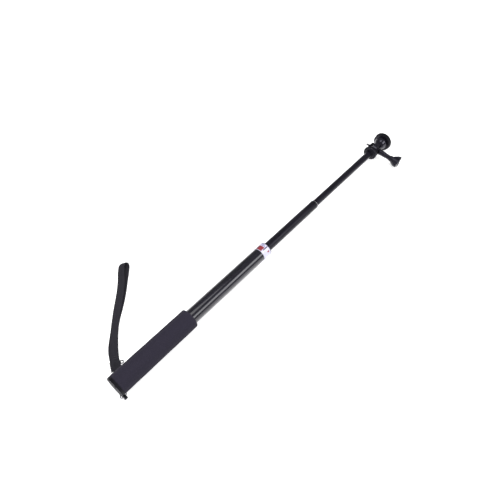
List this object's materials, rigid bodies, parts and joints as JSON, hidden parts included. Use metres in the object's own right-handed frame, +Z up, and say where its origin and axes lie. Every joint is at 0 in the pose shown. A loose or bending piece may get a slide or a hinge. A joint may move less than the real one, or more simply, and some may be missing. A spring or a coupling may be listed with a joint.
{
  "type": "telescopic selfie stick",
  "caption": "Three-section telescopic selfie stick with foam handle, tilting quarter-inch camera head, thumb screw and wrist strap.",
  "frame": {"origin": "middle of the stick's footprint, on the surface it lies on", "axes": "+X along the rod towards the camera head, +Y towards the wrist strap's side, +Z up"},
  "size_m": [0.6051, 0.1884, 0.0315],
  "materials": {
    "foam": "matte closed-cell foam, fine skin",
    "tube_gloss": "gloss black paint over aluminium",
    "tube_satin": "satin black anodised",
    "label": "pale printed film with a red panel, no text",
    "plastic": "moulded black nylon",
    "plastic_gloss": "polished black plastic",
    "nylon": "natural nylon",
    "steel": "bright steel",
    "dark_steel": "black zinc",
    "ring_metal": "black anodised with a bright lip",
    "webbing": "woven nylon webbing",
    "crimp": "black crimp",
    "pad_rubber": "matte rubber"
  },
  "bodies": {
    "handle": {"foam_grip": "foam", "main_tube": "tube_gloss", "lock_label": "label", "mouth_bush": "plastic", "end_cap": "plastic"},
    "strap": {"strap_ring": "steel", "strap_tape": "webbing", "strap_keeper": "crimp", "keeper_eye": "steel", "wrist_strap": "webbing"},
    "lock_sleeve": {"expander_sleeve": "nylon"},
    "second_stage": {"second_tube": "tube_satin", "lock_plug": "nylon", "stud_clip": "steel", "mouth_ring": "ring_metal"},
    "cone": {"lock_cone": "nylon"},
    "rub_sleeve": {"friction_sleeve": "nylon"},
    "third_stage": {"third_tube": "tube_satin", "third_plug": "nylon", "spigot_clip": "steel", "hub_pin": "steel", "head_base": "plastic", "clamp_nut": "dark_steel", "friction_washer_left": "nylon", "friction_washer_right": "nylon"},
    "camera_head": {"tilt_tongue": "plastic_gloss", "camera_plate": "plastic", "screw_clip": "steel"},
    "wheel": {"lock_wheel": "plastic", "camera_screw": "dark_steel", "rubber_pad": "pad_rubber"},
    "pressure_washer": {"clamp_washer": "dark_steel"},
    "thumb_screw": {"thumb_knob": "plastic", "thumb_stud": "dark_steel"}
  },
  "joints": [
    {"name": "strap_swing", "type": "hinge", "parent": "handle", "child": "strap", "pos_m": [-0.29915, 0.00324, 0.0056], "axis": [0, 0, 1], "range_deg": [-11, 0]},
    {"name": "second_tube_slide", "type": "slide", "parent": "handle", "child": "lock_sleeve", "axis": [1, 0, 0], "range_m": [-0.112, 0.068]},
    {"name": "twist_lock", "type": "hinge", "parent": "lock_sleeve", "child": "second_stage", "pos_m": [-0.29555, 0.01616, 0.0157], "axis": [1, 0, 0], "range_deg": [0, 540]},
    {"name": "lock_cone_travel", "type": "slide", "parent": "lock_sleeve", "child": "cone", "axis": [1, 0, 0], "range_m": [-0.0015, 0]},
    {"name": "third_tube_slide", "type": "slide", "parent": "second_stage", "child": "rub_sleeve", "axis": [1, 0, 0], "range_m": [-0.138, 0.03]},
    {"name": "third_tube_turn", "type": "hinge", "parent": "rub_sleeve", "child": "third_stage", "pos_m": [-0.29555, 0.01616, 0.0157], "axis": [1, 0, 0], "continuous": true},
    {"name": "head_tilt", "type": "hinge", "parent": "third_stage", "child": "camera_head", "pos_m": [0.26515, 0.01616, 0.0157], "axis": [0, 0.994, 0.1097], "range_deg": [-90, 90]},
    {"name": "screw_wheel_turn", "type": "hinge", "parent": "camera_head", "child": "wheel", "pos_m": [-0.29555, 0.01616, 0.0157], "axis": [1, 0, 0], "continuous": true},
    {"name": "thumb_screw_turn", "type": "hinge", "parent": "third_stage", "child": "thumb_screw", "pos_m": [0.26515, 0.01616, 0.0157], "axis": [0, 0.994, 0.1097], "continuous": true},
    {"name": "pressure_washer_turn", "type": "hinge", "parent": "third_stage", "child": "pressure_washer", "pos_m": [0.26515, 0.01616, 0.0157], "axis": [0, 0.994, 0.1097], "continuous": true}
  ],
  "couplings": [
    {"joint": "lock_cone_travel", "follows": "twist_lock", "m_per_rad": -0.00015915}
  ]
}
